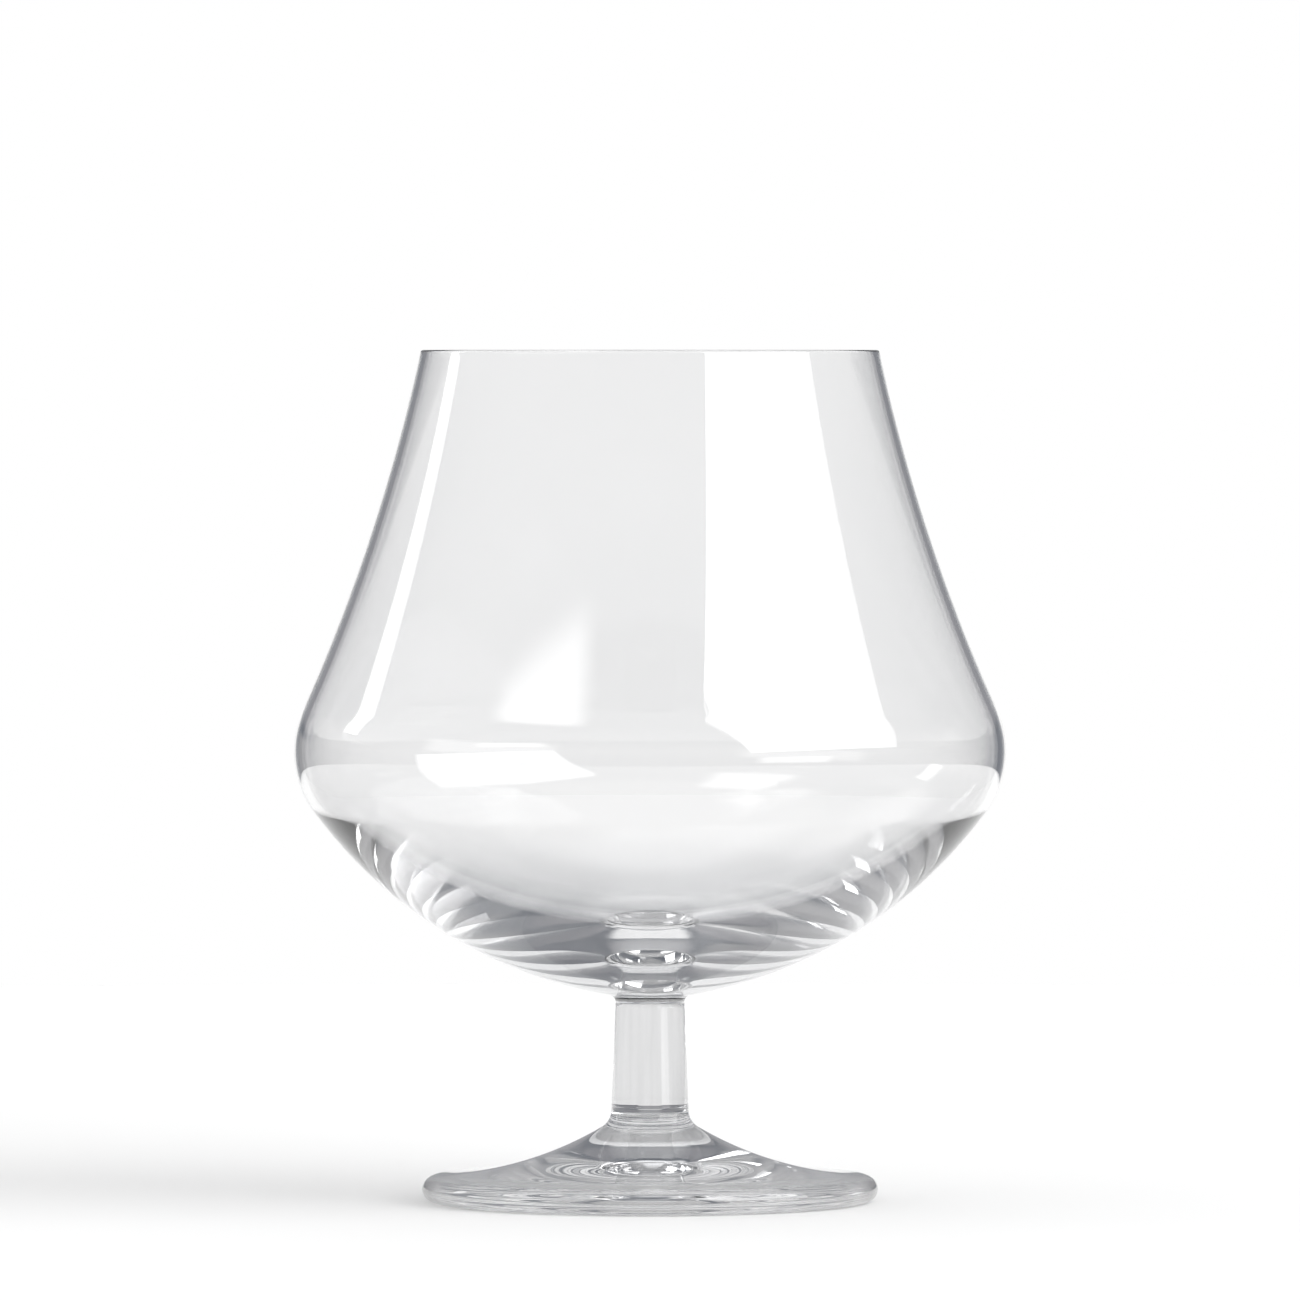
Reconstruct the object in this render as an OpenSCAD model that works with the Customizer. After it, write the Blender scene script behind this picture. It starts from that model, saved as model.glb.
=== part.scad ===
// Brandy snifter: a short-stemmed glass with a wide low belly that narrows to the rim.
// It is three pieces of clear glass, fused end to end: a blown bowl, a drawn stem and a pressed foot.
// Every outline is a chain of circles that touch each other, so the curves stay smooth
// whichever size changes. Outlines lie in the plane of radius and height and are spun round Z.
// The origin is on the table, under the middle of the foot.

/* [Bowl] */
// Height of the bowl, from the top of the stem to the rim
bowl_h = 92; // [84:0.5:104]
// Diameter over the rim
rim_d = 64.7; // [56:0.1:74]
// Diameter at the belly, the widest ring of the bowl
belly_d = 100.3; // [92:0.1:110]
// Height of the belly above the top of the stem
belly_h = 35.5; // [32:0.5:40]
// Radius of the round turn at the belly
belly_turn_r = 14.3; // [8:0.1:18]
// Radius of the long hollow sweep from the belly up to the rim
wall_sweep_r = 257; // [160:1:600]
// Radius of the full sweep under the belly
base_sweep_r = 65.8; // [52:0.1:72]
// Radius of the fillet between the bowl and the stem
bowl_fillet_r = 1.1; // [0.5:0.1:3]

/* [Glass of the bowl] */
// Thickness of the lip, which is melted fully round
lip_t = 0.9; // [0.7:0.05:1.8]
// Thickness of the wall round the belly
belly_t = 1.1; // [0.8:0.05:2.4]
// Thickness of the base in the middle of the bowl
base_t = 6.6; // [4:0.1:8]

/* [Stem] */
// Length of the stem between its two fused ends
stem_h = 15.2; // [8:0.1:60]
// Diameter of the stem under the bowl
stem_top_d = 9.7; // [7:0.1:11]
// Diameter of the stem on the foot
stem_foot_d = 10.9; // [8:0.1:14]

/* [Foot] */
// Height of the foot, from the table to the stem
foot_h = 12.8; // [11:0.1:15]
// Diameter over the foot
foot_d = 64.3; // [58:0.1:72]
// Thickness of the foot at its round edge
edge_t = 3.6; // [2.4:0.1:4.4]
// Radius of the hollow sweep from the edge up to the fillet
foot_sweep_r = 50; // [36:0.5:80]
// Radius of the fillet between the foot and the stem
foot_fillet_r = 2.8; // [1:0.1:4]

/* [Underside of the foot] */
// Width of the flat ring that the glass stands on
ring_w = 3; // [1.5:0.1:6]
// Radius of the roll from that ring into the hollow
ring_roll_r = 2; // [0.5:0.1:4]
// Height of the hollow in the middle of the underside
hollow_h = 2.2; // [1:0.1:4]

/* [Smoothness] */
// Longest straight piece of an outline's curve
curve_piece_l = 2; // [0.5:0.1:3]
// Widest turn between two straight pieces, in degrees
curve_piece_a = 4; // [1:0.5:6]

/* [Hidden] */
$fn = 144;
glass_tint = [0.86, 0.9, 0.92, 0.45];
joint_tint = [0.74, 0.82, 0.88, 0.6];

// Heights of the two fused joints and of the rim
foot_joint_z = foot_h;
bowl_joint_z = foot_joint_z + stem_h;
rim_z = bowl_joint_z + bowl_h;
stem_lean_a = atan2((stem_foot_d - stem_top_d) / 2, stem_h);

// The point that lies the length away from one point towards another
function towards(from, to, length) = from + (to - from) * length / norm(to - from);

// The centre that lies r_a from centre_a and r_b from centre_b, left of the line from a to b
function meet(centre_a, r_a, centre_b, r_b) =
    let (line = centre_b - centre_a,
         gap = norm(line),
         along = (r_a * r_a - r_b * r_b + gap * gap) / (2 * gap),
         aside = sqrt(r_a * r_a - along * along))
    centre_a + (line * along + [-line.y, line.x] * aside) / gap;

// Direction of a point seen from a centre, in degrees
function heading(centre, point) = atan2(point.y - centre.y, point.x - centre.x);

// A turn in degrees, taken the short way round
function short_turn(turn) = turn > 180 ? turn - 360 : turn < -180 ? turn + 360 : turn;

// Points of the curve round a centre, from one point to another, the short way round
function curve(centre, from, to) =
    let (r = norm(from - centre),
         start = heading(centre, from),
         turn = short_turn(heading(centre, to) - start),
         pieces = ceil(abs(turn) / min(curve_piece_a, curve_piece_l / r * 180 / PI)))
    [for (i = [0 : pieces]) centre + r * [cos(start + turn * i / pieces), sin(start + turn * i / pieces)]];

// Square to the side of the stem, which leans in towards the bowl
stem_square = [cos(stem_lean_a), sin(stem_lean_a)];

// Bowl: the belly's turn, the lip, the fillet into the stem, and the sweeps that touch them
bowl_seat = [stem_top_d / 2, bowl_joint_z];
bowl_fillet_c = bowl_seat + bowl_fillet_r * stem_square;
belly_c = [belly_d / 2 - belly_turn_r, bowl_joint_z + belly_h];
lip_c = [rim_d / 2 - lip_t / 2, rim_z - lip_t / 2];
wall_c = meet(lip_c, wall_sweep_r + lip_t / 2, belly_c, wall_sweep_r + belly_turn_r);
base_c = meet(bowl_fillet_c, base_sweep_r + bowl_fillet_r, belly_c, base_sweep_r - belly_turn_r);

// Outside of the bowl, from the stem up to the lip
function bowl_outside() =
    let (fillet_end = towards(bowl_fillet_c, base_c, bowl_fillet_r),
         base_end = towards(base_c, belly_c, base_sweep_r),
         wall_start = towards(belly_c, wall_c, belly_turn_r),
         wall_end = towards(lip_c, wall_c, lip_t / 2))
    concat(curve(bowl_fillet_c, bowl_seat, fillet_end),
           curve(base_c, fillet_end, base_end),
           curve(belly_c, base_end, wall_start),
           curve(wall_c, wall_start, wall_end),
           curve(lip_c, wall_end, [lip_c.x, rim_z]));

// Inside: the turn keeps the belly's thickness, the wall touches the lip, and the bottom is round
inner_turn_r = belly_turn_r - belly_t;
inner_sweep_r = wall_sweep_r + belly_t;
inner_wall_c = meet(lip_c, inner_sweep_r - lip_t / 2, belly_c, inner_sweep_r + inner_turn_r);
bottom = [0, bowl_joint_z + base_t];
belly_rise = belly_c.y - bottom.y;
bottom_sweep_r = (belly_c.x * belly_c.x + belly_rise * belly_rise - inner_turn_r * inner_turn_r)
    / (2 * (belly_rise - inner_turn_r));
bottom_c = bottom + [0, bottom_sweep_r];

// Inside of the bowl, from the lip down to the middle of the bottom
function bowl_inside() =
    let (wall_start = towards(lip_c, inner_wall_c, -lip_t / 2),
         wall_end = towards(belly_c, inner_wall_c, inner_turn_r),
         bottom_start = towards(bottom_c, belly_c, bottom_sweep_r))
    concat(curve(lip_c, [lip_c.x, rim_z], wall_start),
           curve(inner_wall_c, wall_start, wall_end),
           curve(belly_c, wall_end, bottom_start),
           curve(bottom_c, bottom_start, bottom));

// Foot: the round edge, the fillet on to the stem, and the sweep that touches both
foot_seat = [stem_foot_d / 2, foot_joint_z];
foot_fillet_c = foot_seat + foot_fillet_r * stem_square;
edge_c = [(foot_d - edge_t) / 2, edge_t / 2];
foot_sweep_c = meet(foot_fillet_c, foot_sweep_r - foot_fillet_r, edge_c, foot_sweep_r + edge_t / 2);

// Top of the foot, from the flat ring round the edge and up to the stem
function foot_top() =
    let (edge_end = towards(edge_c, foot_sweep_c, edge_t / 2),
         fillet_start = towards(foot_sweep_c, foot_fillet_c, foot_sweep_r),
         edge_side = edge_c + [edge_t / 2, 0])
    concat(curve(edge_c, [edge_c.x, 0], edge_side),
           curve(edge_c, edge_side, edge_end),
           curve(foot_sweep_c, edge_end, fillet_start),
           curve(foot_fillet_c, fillet_start, foot_seat));

// Underside: a flat ring, a roll and a shallow dome that touches the roll
ring_inner_r = edge_c.x - ring_w;
roll_c = [ring_inner_r, ring_roll_r];
dome_r = (ring_inner_r * ring_inner_r + hollow_h * hollow_h - 2 * hollow_h * ring_roll_r)
    / (2 * hollow_h);
dome_c = [0, hollow_h - dome_r];

// Underside of the foot, from the middle of the hollow out to the flat ring
function foot_underside() =
    let (dome_end = towards(dome_c, roll_c, dome_r))
    concat(curve(dome_c, [0, hollow_h], dome_end),
           curve(roll_c, dome_end, [ring_inner_r, 0]));

module bowl() {
    color(glass_tint)
        rotate_extrude()
            polygon(concat([[0, bowl_joint_z]], bowl_outside(), bowl_inside()));
}

module stem() {
    color(joint_tint)
        translate([0, 0, foot_joint_z])
            cylinder(h = stem_h, d1 = stem_foot_d, d2 = stem_top_d);
}

module foot() {
    color(glass_tint)
        rotate_extrude()
            polygon(concat(foot_underside(), foot_top(), [[0, foot_joint_z]]));
}

bowl();
stem();
foot();
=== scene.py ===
# Brandy snifter of clear glass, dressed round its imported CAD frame: bowl, stem and foot
# are put together in the order that a glassmaker fuses them, then set in a plain studio.
import math

import bpy
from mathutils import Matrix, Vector


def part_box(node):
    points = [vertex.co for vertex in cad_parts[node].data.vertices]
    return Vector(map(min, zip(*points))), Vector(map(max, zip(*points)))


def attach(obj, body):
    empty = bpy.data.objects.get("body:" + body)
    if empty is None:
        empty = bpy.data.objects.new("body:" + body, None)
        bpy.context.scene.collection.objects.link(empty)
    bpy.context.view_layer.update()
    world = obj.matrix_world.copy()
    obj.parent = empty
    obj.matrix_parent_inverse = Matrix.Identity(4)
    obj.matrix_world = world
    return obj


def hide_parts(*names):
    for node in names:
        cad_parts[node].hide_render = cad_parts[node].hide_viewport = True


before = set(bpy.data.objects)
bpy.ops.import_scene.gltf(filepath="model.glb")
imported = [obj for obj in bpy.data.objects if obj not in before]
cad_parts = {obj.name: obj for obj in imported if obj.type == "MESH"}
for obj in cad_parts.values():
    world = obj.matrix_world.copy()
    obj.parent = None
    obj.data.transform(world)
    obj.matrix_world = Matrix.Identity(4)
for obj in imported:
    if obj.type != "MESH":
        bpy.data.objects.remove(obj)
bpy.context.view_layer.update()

# Bowl: one gather of clear glass, blown thin in a mould. The wall is thinnest at the rim, which
# is cut and melted round, and it thickens under the belly into a heavy base. The base is seated
# hot on the stem, so the two are one glass there.
scene = bpy.context.scene
bowl_low, bowl_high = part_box("bowl")
stem_low, stem_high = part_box("stem")
rim_z = bowl_high.z
bowl_seat_z = bowl_low.z
belly_radius = bowl_high.x
belly_height = 0.0355
belly_turn = 0.0143
rim_radius = 0.03235
wall_sweep = 0.257
base_sweep = 0.0658
bowl_fillet = 0.0011
lip_thickness = 0.0009
belly_thickness = 0.0011
base_thickness = 0.0066
stem_top_radius = 0.00485
stem_foot_radius = stem_high.x
stem_lean = math.atan2(stem_foot_radius - stem_top_radius, stem_high.z - stem_low.z)
square_to_stem = Vector((math.cos(stem_lean), math.sin(stem_lean)))
longest_step = 0.0011
widest_turn = math.radians(2.0)
spin_steps = 256
same_spot = 1e-7


def towards(start, end, length):
    """The point that lies the length away from one point towards another."""
    return start + (end - start).normalized() * length


def meet(centre_a, radius_a, centre_b, radius_b):
    """The centre that lies one radius from each of two centres, left of the line from a to b."""
    line = centre_b - centre_a
    gap = line.length
    along = (radius_a ** 2 - radius_b ** 2 + gap ** 2) / (2 * gap)
    aside = math.sqrt(radius_a ** 2 - along ** 2)
    return centre_a + (line * along + Vector((-line.y, line.x)) * aside) / gap


def curve(centre, start, end):
    """Points round a centre from one point to another, the short way, without the first."""
    radius = (start - centre).length
    first = math.atan2(start.y - centre.y, start.x - centre.x)
    turn = math.atan2(end.y - centre.y, end.x - centre.x) - first
    turn = (turn + math.pi) % (2 * math.pi) - math.pi
    pieces = max(2, math.ceil(abs(turn) / min(widest_turn, longest_step / radius)))
    angles = [first + turn * i / pieces for i in range(1, pieces + 1)]
    return [centre + Vector((math.cos(a), math.sin(a))) * radius for a in angles]


def spin(name, outline, seats):
    """A closed mesh: the outline, from axis to axis, spun round Z. Faces at the heights in seats
    are flat fused ends and take material 1, and the rest are smooth and take material 0."""
    around = [2 * math.pi * i / spin_steps for i in range(spin_steps)]
    rings = []
    points = []
    for p in outline:
        first = len(points)
        if p.x < same_spot:
            rings.append([first] * spin_steps)
            points.append((0.0, 0.0, p.y))
        else:
            rings.append(list(range(first, first + spin_steps)))
            points.extend((p.x * math.cos(a), p.x * math.sin(a), p.y) for a in around)
    faces = []
    is_seat = []
    for low, high, p, q in zip(rings, rings[1:], outline, outline[1:]):
        flat = any(abs(p.y - z) < same_spot and abs(q.y - z) < same_spot for z in seats)
        for i in range(spin_steps):
            j = (i + 1) % spin_steps
            corners = [low[i], low[j], high[j], high[i]]
            faces.append(list(dict.fromkeys(corners)))
            is_seat.append(flat)
    mesh = bpy.data.meshes.new(name)
    mesh.from_pydata(points, [], faces)
    mesh.polygons.foreach_set("use_smooth", [not seat for seat in is_seat])
    mesh.polygons.foreach_set("material_index", [int(seat) for seat in is_seat])
    mesh.validate()
    piece = bpy.data.objects.new(name, mesh)
    scene.collection.objects.link(piece)
    return piece


bowl_seat = Vector((stem_top_radius, bowl_seat_z))
bowl_fillet_c = bowl_seat + square_to_stem * bowl_fillet
belly_c = Vector((belly_radius - belly_turn, bowl_seat_z + belly_height))
lip_c = Vector((rim_radius - lip_thickness / 2, rim_z - lip_thickness / 2))
wall_c = meet(lip_c, wall_sweep + lip_thickness / 2, belly_c, wall_sweep + belly_turn)
base_c = meet(bowl_fillet_c, base_sweep + bowl_fillet, belly_c, base_sweep - belly_turn)
fillet_end = towards(bowl_fillet_c, base_c, bowl_fillet)
base_end = towards(base_c, belly_c, base_sweep)
wall_start = towards(belly_c, wall_c, belly_turn)
wall_end = towards(lip_c, wall_c, lip_thickness / 2)
lip_top = Vector((lip_c.x, rim_z))

inner_turn = belly_turn - belly_thickness
inner_sweep = wall_sweep + belly_thickness
inner_wall_c = meet(lip_c, inner_sweep - lip_thickness / 2, belly_c, inner_sweep + inner_turn)
bottom = Vector((0.0, bowl_seat_z + base_thickness))
belly_rise = belly_c.y - bottom.y
bottom_sweep = (belly_c.x ** 2 + belly_rise ** 2 - inner_turn ** 2) / (2 * (belly_rise - inner_turn))
bottom_c = bottom + Vector((0.0, bottom_sweep))
inner_wall_start = towards(lip_c, inner_wall_c, -lip_thickness / 2)
inner_wall_end = towards(belly_c, inner_wall_c, inner_turn)
bottom_start = towards(bottom_c, belly_c, bottom_sweep)

bowl_outline = [Vector((0.0, bowl_seat_z)), bowl_seat]
bowl_outline += curve(bowl_fillet_c, bowl_seat, fillet_end)
bowl_outline += curve(base_c, fillet_end, base_end)
bowl_outline += curve(belly_c, base_end, wall_start)
bowl_outline += curve(wall_c, wall_start, wall_end)
bowl_outline += curve(lip_c, wall_end, lip_top)
bowl_outline += curve(lip_c, lip_top, inner_wall_start)
bowl_outline += curve(inner_wall_c, inner_wall_start, inner_wall_end)
bowl_outline += curve(belly_c, inner_wall_end, bottom_start)
bowl_outline += curve(bottom_c, bottom_start, bottom)

glass_ior = 1.5
wall_colour = (0.956, 0.956, 0.957)
# Grey of thick glass: partly its own tint, partly painted shade that stands in for the dim room seen
# through it.
thick_tint_and_shade_grey = (0.795, 0.80, 0.81)
thin_wall_height = 0.018
thick_base_height = 0.007
thin_wall_z = bowl_seat_z + thin_wall_height
thick_base_z = bowl_seat_z + thick_base_height
wall_ripples = (45.0, 45.0, 30.0)
wall_ripple_height = 0.000006


def noise(tree, lumps_per_metre, detail):
    """Soft noise from 0 to 1 all through a piece; its lumps are counted along X, Y and Z."""
    place = tree.nodes.new("ShaderNodeTexCoord")
    stretch = tree.nodes.new("ShaderNodeMapping")
    stretch.inputs["Scale"].default_value = lumps_per_metre
    lumps = tree.nodes.new("ShaderNodeTexNoise")
    lumps.inputs["Scale"].default_value = 1.0
    lumps.inputs["Detail"].default_value = detail
    tree.links.new(place.outputs["Object"], stretch.inputs["Vector"])
    tree.links.new(stretch.outputs["Vector"], lumps.inputs["Vector"])
    return lumps.outputs["Fac"]


def height_on(tree):
    """How high a point of a piece lies above the table."""
    place = tree.nodes.new("ShaderNodeTexCoord")
    parts = tree.nodes.new("ShaderNodeSeparateXYZ")
    tree.links.new(place.outputs["Object"], parts.inputs[0])
    return parts.outputs["Z"]


def ramp(tree, value, start, end, rise="SMOOTHSTEP"):
    """Rises from 0 at the start to 1 at the end, softly or, where rise is LINEAR, evenly."""
    node = tree.nodes.new("ShaderNodeMapRange")
    node.interpolation_type = rise
    node.inputs["From Min"].default_value = start
    node.inputs["From Max"].default_value = end
    tree.links.new(value, node.inputs["Value"])
    return node.outputs["Result"]


def mixed(tree, share, under, over):
    """One colour laid over another; each value is written out or is another node's output."""
    node = tree.nodes.new("ShaderNodeMix")
    node.data_type = "RGBA"
    for value, socket in ((share, node.inputs[0]), (under, node.inputs[6]), (over, node.inputs[7])):
        if isinstance(value, tuple):
            socket.default_value = (*value, 1.0)
        else:
            tree.links.new(value, socket)
    return node.outputs[2]


def clear_glass(name, colour, ripples_per_metre, ripple_height):
    """Clear glass, polished by the flame. Ripples per metre run along X, Y and Z, and a ripple
    is a few micrometres high, so it only makes reflections tremble."""
    made = bpy.data.materials.new(name)
    made.use_nodes = True
    tree = made.node_tree
    shader = tree.nodes["Principled BSDF"]
    shader.inputs["Base Color"].default_value = (*colour, 1.0)
    shader.inputs["Roughness"].default_value = 0.0
    shader.inputs["IOR"].default_value = glass_ior
    shader.inputs["Transmission Weight"].default_value = 1.0
    relief = tree.nodes.new("ShaderNodeBump")
    relief.inputs["Strength"].default_value = 1.0
    relief.inputs["Distance"].default_value = ripple_height
    tree.links.new(noise(tree, ripples_per_metre, detail=1.0), relief.inputs["Height"])
    tree.links.new(relief.outputs["Normal"], shader.inputs["Normal"])
    return made


def deepen_tint_and_shade_where_thick(material, thin_colour, thin_z, thick_tint_and_shade_grey, thick_z):
    """Light crosses more glass where a piece is thick, so its grey tint deepens between two heights. The
    grey is also painted shade, standing in for the dim room seen through the thick glass.
    """
    tree = material.node_tree
    depth = ramp(tree, height_on(tree), thin_z, thick_z)
    grey = mixed(tree, depth, thin_colour, thick_tint_and_shade_grey)
    tree.links.new(grey, tree.nodes["Principled BSDF"].inputs["Base Color"])


def fused_end():
    """Where two pieces are melted together there is no surface, so light goes straight on."""
    made = bpy.data.materials.new("fused_end")
    made.use_nodes = True
    tree = made.node_tree
    tree.nodes.remove(tree.nodes["Principled BSDF"])
    through = tree.nodes.new("ShaderNodeBsdfTransparent")
    tree.links.new(through.outputs[0], tree.nodes["Material Output"].inputs["Surface"])
    return made


blown_glass = clear_glass("blown_glass", wall_colour, wall_ripples, wall_ripple_height)
# The heavy base of the bowl gets that grey: partly tint, partly painted shade.
deepen_tint_and_shade_where_thick(blown_glass, wall_colour, thin_wall_z, thick_tint_and_shade_grey, thick_base_z)
fused = fused_end()
bowl = spin("bowl_glass", bowl_outline, [bowl_seat_z])
bowl.data.materials.append(blown_glass)
bowl.data.materials.append(fused)
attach(bowl, "root")
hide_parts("bowl")

# Stem: a short solid rod, drawn from hot glass, so it widens a little towards the foot.
# Both of its ends are melted on: the upper one to the base of the bowl, the lower to the foot.
foot_seat_z = stem_low.z
stem_rings = 24
stem_outline = [Vector((0.0, foot_seat_z))]
for ring in range(stem_rings + 1):
    share = ring / stem_rings
    radius = stem_foot_radius + (stem_top_radius - stem_foot_radius) * share
    stem_outline.append(Vector((radius, foot_seat_z + (bowl_seat_z - foot_seat_z) * share)))
stem_outline.append(Vector((0.0, bowl_seat_z)))

side_ripples = (320.0, 320.0, 12.0)
side_ripple_height = 0.000002
# Painted streaks of light and shade along the stem, standing in for the room seen through the rod, between
# two greys that are partly tint and partly painted shade.
painted_streaks_per_metre = (1100.0, 1100.0, 8.0)
painted_light_streak = (0.80, 0.80, 0.805)
painted_dark_streak = (0.715, 0.717, 0.722)
darkest_noise = 0.3
lightest_noise = 0.7


def paint_streaks_lengthwise(material):
    """Painted streaks along a drawn piece, about a millimetre apart, between two greys: painted light and
    shade for the room seen through the rod, over a grey that is partly tint and partly painted shade.
    """
    tree = material.node_tree
    streaks = noise(tree, painted_streaks_per_metre, detail=2.0)
    lightness = ramp(tree, streaks, darkest_noise, lightest_noise, rise="LINEAR")
    grey = mixed(tree, lightness, painted_dark_streak, painted_light_streak)
    tree.links.new(grey, tree.nodes["Principled BSDF"].inputs["Base Color"])


drawn_glass = clear_glass("drawn_glass", thick_tint_and_shade_grey, side_ripples, side_ripple_height)
# The stem's grey and streaks are painted: light and shade of the room seen through the rod, over a little
# real tint.
paint_streaks_lengthwise(drawn_glass)
stem = spin("stem_glass", stem_outline, [foot_seat_z, bowl_seat_z])
stem.data.materials.append(drawn_glass)
stem.data.materials.append(fused)
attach(stem, "root")
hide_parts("stem")

# Foot: a thick disc, pressed while hot. Its round edge is melted smooth, its top sweeps up
# to the stem, and it stands on a flat ring round a shallow hollow.
foot_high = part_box("foot")[1]
foot_radius = foot_high.x
edge_thickness = 0.0036
foot_sweep = 0.05
foot_fillet = 0.0028
ring_width = 0.003
ring_pieces = 4
ring_roll = 0.002
hollow_height = 0.0022

foot_seat = Vector((stem_foot_radius, foot_seat_z))
foot_fillet_c = foot_seat + square_to_stem * foot_fillet
edge_c = Vector((foot_radius - edge_thickness / 2, edge_thickness / 2))
foot_sweep_c = meet(foot_fillet_c, foot_sweep - foot_fillet, edge_c, foot_sweep + edge_thickness / 2)
edge_end = towards(edge_c, foot_sweep_c, edge_thickness / 2)
sweep_end = towards(foot_sweep_c, foot_fillet_c, foot_sweep)
edge_side = edge_c + Vector((edge_thickness / 2, 0.0))
edge_foot = Vector((edge_c.x, 0.0))
ring_inner = Vector((edge_c.x - ring_width, 0.0))
roll_c = ring_inner + Vector((0.0, ring_roll))
dome = (ring_inner.x ** 2 + hollow_height ** 2 - 2 * hollow_height * ring_roll) / (2 * hollow_height)
dome_c = Vector((0.0, hollow_height - dome))
dome_top = Vector((0.0, hollow_height))
dome_end = towards(dome_c, roll_c, dome)

foot_outline = [dome_top]
foot_outline += curve(dome_c, dome_top, dome_end)
foot_outline += curve(roll_c, dome_end, ring_inner)
foot_outline += [ring_inner.lerp(edge_foot, (i + 1) / ring_pieces) for i in range(ring_pieces)]
foot_outline += curve(edge_c, edge_foot, edge_side)
foot_outline += curve(edge_c, edge_side, edge_end)
foot_outline += curve(foot_sweep_c, edge_end, sweep_end)
foot_outline += curve(foot_fillet_c, sweep_end, foot_seat)
foot_outline.append(Vector((0.0, foot_seat_z)))

edge_colour = (0.975, 0.975, 0.976)
thin_edge_z = 0.0045
thick_cone_z = 0.009
pressed_swirl = (90.0, 90.0, 90.0)
pressed_swirl_height = 0.000004
worn_height = 0.00005
worn_roughness = 0.35
scratches_per_metre = (2500.0, 2500.0, 2500.0)


def reckon(tree, operation, *values):
    """A Math node in a node tree; each value is a number or another node's output."""
    node = tree.nodes.new("ShaderNodeMath")
    node.operation = operation
    for socket, value in zip(node.inputs, values):
        if isinstance(value, (int, float)):
            socket.default_value = value
        else:
            tree.links.new(value, socket)
    return node.outputs[0]


def wear_into_ring(material):
    """Fine scratches where the glass rubs the table: the lowest twentieth of a millimetre is dull."""
    tree = material.node_tree
    worn = ramp(tree, height_on(tree), worn_height, 0.0, rise="LINEAR")
    scratches = noise(tree, scratches_per_metre, detail=2.0)
    dull = reckon(tree, "MULTIPLY", reckon(tree, "MULTIPLY", worn, worn_roughness), scratches)
    tree.links.new(dull, tree.nodes["Principled BSDF"].inputs["Roughness"])


pressed_glass = clear_glass("pressed_glass", edge_colour, pressed_swirl, pressed_swirl_height)
# The thick cone of the foot gets the same grey: partly tint, partly painted shade.
deepen_tint_and_shade_where_thick(pressed_glass, edge_colour, thin_edge_z, thick_tint_and_shade_grey, thick_cone_z)
wear_into_ring(pressed_glass)
foot = spin("foot_glass", foot_outline, [foot_seat_z])
foot.data.materials.append(pressed_glass)
foot.data.materials.append(fused)
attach(foot, "root")
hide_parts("foot")

# Studio table: a plain round white board, a twentieth of a millimetre under the flat ring of the
# foot, so that a film of air lets light in under the glass. Its paint is darker near the glass, a
# painted shade round the foot, and it glows a little, more near the glass, for rays that end in the
# picture.
table_radius = 0.62
table_steps = 128
air_film = 0.00005
board_roughness = 0.9
painted_shade_tone = (0.74, 0.74, 0.74)
far_tone = (0.88, 0.88, 0.88)
painted_shade_radius = 0.22
painted_shade_fade_radius = 0.40
near_glow = 0.17
glow_lost_far = 0.12
before_any_bounce = 0.5


def in_the_picture(tree):
    """1 for a ray that ends in the picture, straight, through glass or off it, and 0 for a ray
    that only lights a matt surface."""
    ray = tree.nodes.new("ShaderNodeLightPath")
    in_glass = reckon(tree, "MAXIMUM", ray.outputs["Is Glossy Ray"], ray.outputs["Is Transmission Ray"])
    seen = reckon(tree, "MAXIMUM", ray.outputs["Is Camera Ray"], in_glass)
    no_matt_surface = reckon(tree, "LESS_THAN", ray.outputs["Diffuse Depth"], before_any_bounce)
    return reckon(tree, "MULTIPLY", seen, no_matt_surface)


table_mesh = bpy.data.meshes.new("table")
table_turns = [2 * math.pi * i / table_steps for i in range(table_steps)]
table_edge = [(table_radius * math.cos(a), table_radius * math.sin(a), 0.0) for a in table_turns]
table_mesh.from_pydata(table_edge, [], [tuple(range(table_steps))])
table = bpy.data.objects.new("table", table_mesh)
table.location.z = -air_film
scene.collection.objects.link(table)

table_white = bpy.data.materials.new("table_white")
table_white.use_nodes = True
table_tree = table_white.node_tree
paint = table_tree.nodes["Principled BSDF"]
paint.inputs["Roughness"].default_value = board_roughness
paint.inputs["Specular IOR Level"].default_value = 0.0
paint.inputs["Emission Color"].default_value = (1.0, 1.0, 1.0, 1.0)
table_place = table_tree.nodes.new("ShaderNodeTexCoord")
from_middle = table_tree.nodes.new("ShaderNodeVectorMath")
from_middle.operation = "LENGTH"
table_tree.links.new(table_place.outputs["Object"], from_middle.inputs[0])
# Painted shade: the paint is darker near the glass and fades out between the two radii.
outward = ramp(table_tree, from_middle.outputs["Value"], painted_shade_radius, painted_shade_fade_radius)
tone = mixed(table_tree, outward, painted_shade_tone, far_tone)
glow = reckon(table_tree, "SUBTRACT", near_glow, reckon(table_tree, "MULTIPLY", outward, glow_lost_far))
glow = reckon(table_tree, "MULTIPLY", glow, in_the_picture(table_tree))
table_tree.links.new(tone, paint.inputs["Base Color"])
table_tree.links.new(glow, paint.inputs["Emission Strength"])
table.data.materials.append(table_white)

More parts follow.
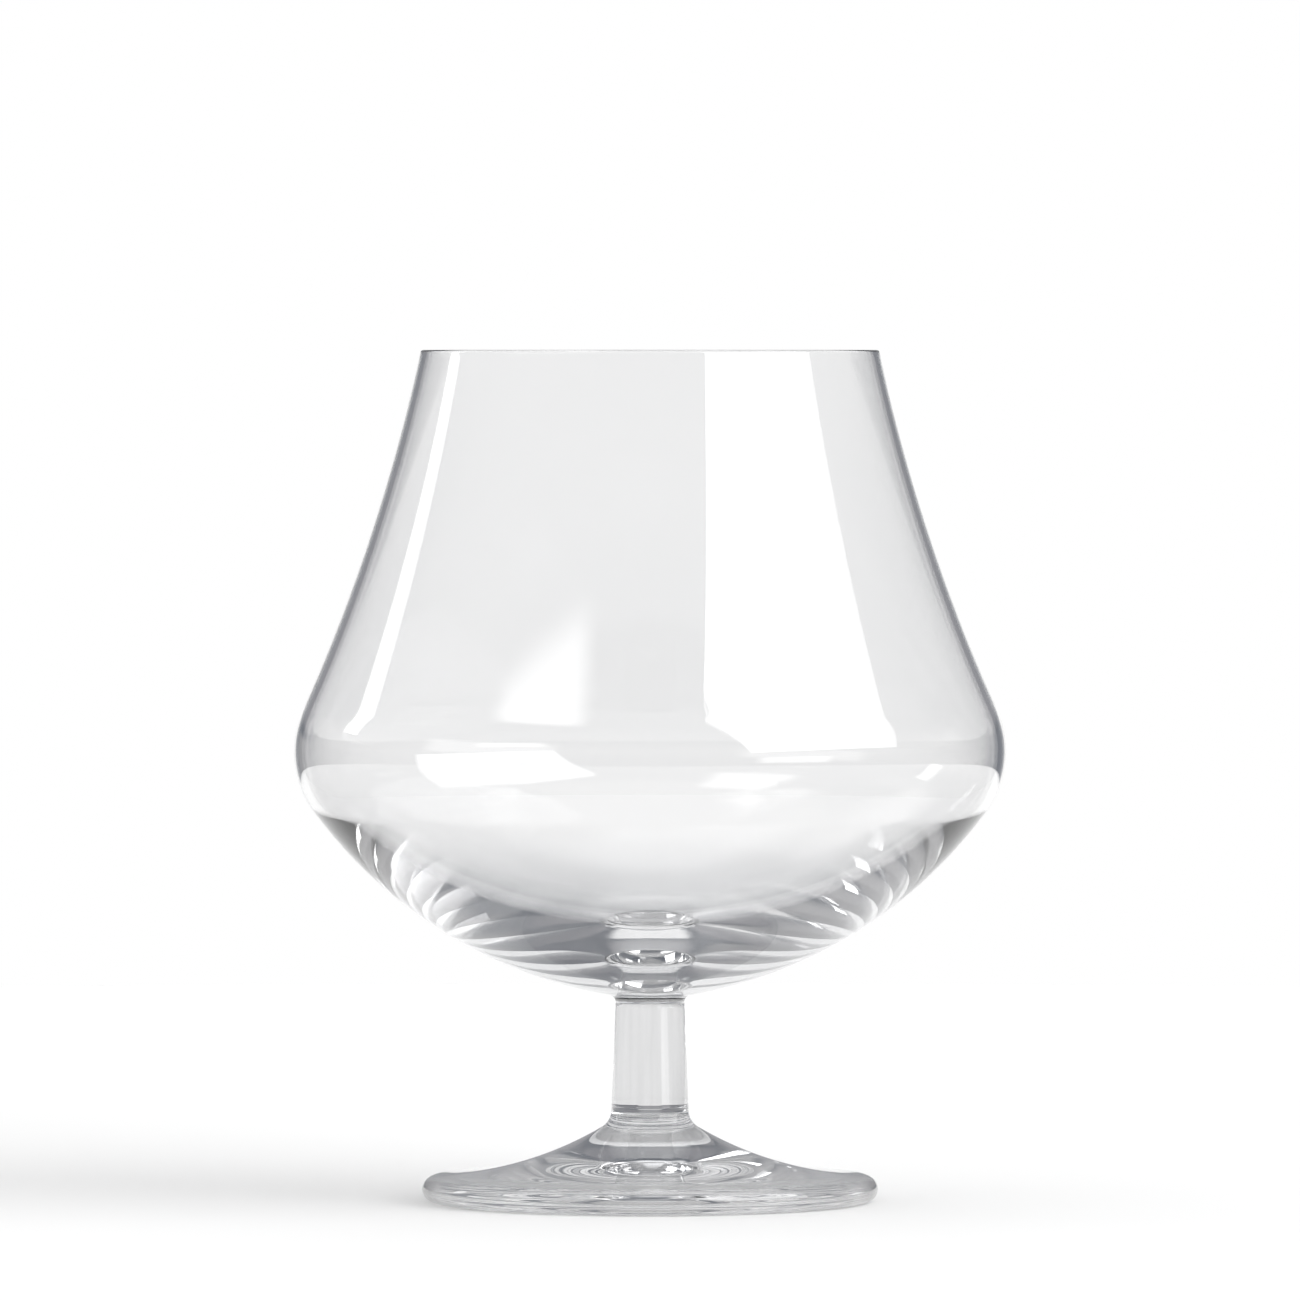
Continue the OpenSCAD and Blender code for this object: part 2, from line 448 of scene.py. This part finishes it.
# Studio room: a dim room with a white backdrop behind the table, and screens and windows all
# round, painted on the world, that the glass shows in its walls. What the room throws on a matt
# surface is one plain grey. Bearings turn from the backdrop at 0 to the right.
room = bpy.data.worlds.new("room")
room.use_nodes = True
scene.world = room
room_tree = room.node_tree
way = room_tree.nodes.new("ShaderNodeTexCoord")
parts = room_tree.nodes.new("ShaderNodeSeparateXYZ")
room_tree.links.new(way.outputs["Generated"], parts.inputs[0])
bearing = reckon(room_tree, "DEGREES", reckon(room_tree, "ARCTAN2", parts.outputs["X"], parts.outputs["Y"]))
height = reckon(room_tree, "DEGREES", reckon(room_tree, "ARCSINE", parts.outputs["Z"]))
half_turn = 180.0

plain_room = (0.82, 0.82, 0.82)
dim_room = (0.16, 0.172, 0.195)
# Bearing of the middle, half width, lowest and highest angle, softness of the sides and of the
# edges, all in degrees, and the colour, where 1 is the white of the backdrop
panels = {
    "grey wall at the front": (180.0, 145.0, -90.0, 14.0, 11.0, 6.0, (0.44, 0.44, 0.45)),
    "floor at the front": (180.0, 162.0, -90.0, 2.0, 4.0, 1.0, (0.36, 0.36, 0.37)),
    "ceiling": (180.0, 200.0, 54.0, 100.0, 1.0, 6.0, (0.55, 0.55, 0.55)),
    "dark floor at the back right": (28.0, 13.0, -90.0, 3.0, 4.0, 1.0, (0.20, 0.21, 0.235)),
    "dim screen at the back right": (45.0, 12.0, 0.0, 24.0, 6.0, 4.0, (0.28, 0.29, 0.31)),
    "dim wall behind the backdrop": (0.0, 36.0, 4.0, 20.0, 3.0, 1.5, (0.30, 0.30, 0.32)),
    "grey screen over the backdrop": (0.0, 11.0, 3.0, 32.0, 4.0, 4.0, (0.42, 0.425, 0.44)),
    "white screen at the back left": (-40.0, 17.0, 30.0, 50.0, 7.0, 5.0, (1.0, 1.0, 1.0)),
    "white backdrop": (0.0, 12.0, -100.0, 2.1, 2.0, 0.4, (1.0, 1.0, 1.0)),
    "skylight at the back": (-12.0, 34.0, 52.0, 76.0, 14.0, 8.0, (2.0, 2.0, 2.0)),
    "high window at the front left": (-136.0, 17.0, 39.0, 62.0, 6.0, 2.0, (2.7, 2.7, 2.7)),
    "low window at the front left": (-125.0, 23.0, 6.0, 17.0, 4.0, 2.0, (1.7, 1.7, 1.7)),
    "low strip at the front right": (132.0, 12.0, -3.0, 3.0, 3.0, 1.0, (2.7, 2.7, 2.7)),
}


def panel(room_so_far, middle, half, low, high, side_soft, edge_soft, colour):
    """Paints one panel over the room so far."""
    turned = reckon(room_tree, "SUBTRACT", bearing, middle)
    aside = reckon(room_tree, "ABSOLUTE", reckon(room_tree, "WRAP", turned, half_turn, -half_turn))
    across = ramp(room_tree, aside, half + side_soft, half - side_soft)
    above = ramp(room_tree, height, low - edge_soft, low + edge_soft)
    below = ramp(room_tree, height, high + edge_soft, high - edge_soft)
    share = reckon(room_tree, "MULTIPLY", reckon(room_tree, "MULTIPLY", across, above), below)
    return mixed(room_tree, share, room_so_far, colour)


picture = dim_room
for sizes_and_colour in panels.values():
    picture = panel(picture, *sizes_and_colour)
room_colour = mixed(room_tree, in_the_picture(room_tree), plain_room, picture)
background = room_tree.nodes["Background"]
background.inputs["Strength"].default_value = 1.0
room_tree.links.new(room_colour, background.inputs["Color"])

# Studio lamps: one large soft lamp, high on the right, and a narrow upright one on the left, which
# both face the glass and leave long white bands in its walls.
lamp_away = 4.0
lamp_aim = Vector((0.0, 0.0, 0.07))
lamp_brightness = 2.6
watts_of_white = 4.0


def soft_lamp(name, bearing_deg, height_deg, width, tall):
    """A soft rectangular lamp that faces the glass. Its power is reckoned from its area, where
    watts_of_white is what one square metre as bright as the white backdrop takes."""
    data = bpy.data.lights.new(name, "AREA")
    data.shape = "RECTANGLE"
    data.size = width
    data.size_y = tall
    data.energy = watts_of_white * width * tall * lamp_brightness
    lamp = bpy.data.objects.new(name, data)
    scene.collection.objects.link(lamp)
    turn = math.radians(bearing_deg)
    lift = math.radians(height_deg)
    out = Vector((math.sin(turn) * math.cos(lift), math.cos(turn) * math.cos(lift), math.sin(lift)))
    lamp.location = lamp_aim + out * lamp_away
    lamp.rotation_euler = out.to_track_quat("Z", "Y").to_euler()
    lamp.visible_camera = False


soft_lamp("right_lamp", bearing_deg=120.0, height_deg=30.0, width=4.30, tall=3.05)
soft_lamp("left_strip_lamp", bearing_deg=-62.6, height_deg=18.5, width=0.50, tall=0.90)

# Camera: far off, level with the rim, so that the foot shows a little of its top and the rim is
# a straight line. Its place is worked out from pixel rows of the square picture.
picture_pixels = 1300
foot_pixel_row = 1201.9
rim_pixel_row = 350.0
eye_pixel_row = 348.0
middle_pixel_row = 650.0
pixels_away = 12800
sensor_width = 36.0
nearest_seen = 0.1
farthest_seen = 50.0
metres_per_pixel = rim_z / (foot_pixel_row - rim_pixel_row)
camera_z = (foot_pixel_row - eye_pixel_row) * metres_per_pixel
aim_z = (foot_pixel_row - middle_pixel_row) * metres_per_pixel
camera_data = bpy.data.cameras.new("camera")
camera = bpy.data.objects.new("camera", camera_data)
scene.collection.objects.link(camera)
camera.location = (0.0, -pixels_away * metres_per_pixel, camera_z)
sight = Vector((0.0, 0.0, aim_z)) - camera.location
camera.rotation_euler = sight.to_track_quat("-Z", "Y").to_euler()
camera_data.sensor_width = sensor_width
camera_data.lens = sensor_width * sight.length / (picture_pixels * metres_per_pixel)
camera_data.clip_start = nearest_seen
camera_data.clip_end = farthest_seen
scene.camera = camera

glass_bounces = 24
scene.view_settings.view_transform = "Standard"
scene.cycles.max_bounces = glass_bounces
scene.cycles.transmission_bounces = glass_bounces
scene.cycles.glossy_bounces = glass_bounces
scene.cycles.transparent_max_bounces = glass_bounces
